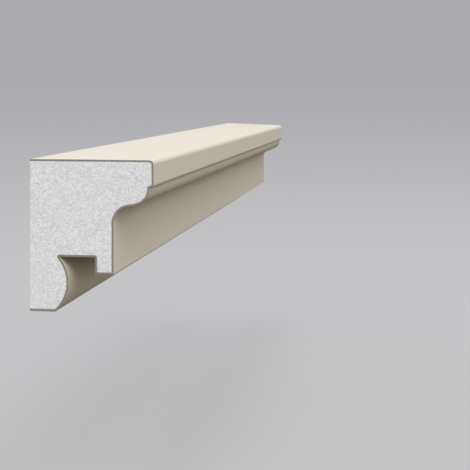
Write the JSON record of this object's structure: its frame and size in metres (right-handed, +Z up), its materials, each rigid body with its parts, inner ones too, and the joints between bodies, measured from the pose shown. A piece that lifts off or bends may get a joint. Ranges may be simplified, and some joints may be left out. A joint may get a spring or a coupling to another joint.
{
  "type": "cornice moulding length",
  "caption": "Cornice moulding length in coated foam, with a fascia, cyma, lower fascia, drip groove and half-round bead, one end square and the other mitred for an inside corner.",
  "frame": {"origin": "centre of the back face, which is bonded to the wall (mount wall_face)", "axes": "+X along the length towards the mitred end, -Y out from the wall, +Z up"},
  "size_m": [1.455, 0.15, 0.18],
  "materials": {
    "foam": "expanded polystyrene, hot-wire cut, with its beads showing",
    "coat": "mineral-filled acrylic coat, fine and matt, light beige"
  },
  "bodies": {
    "root": {"foam_core": "foam", "coating": "coat"}
  },
  "joints": []
}
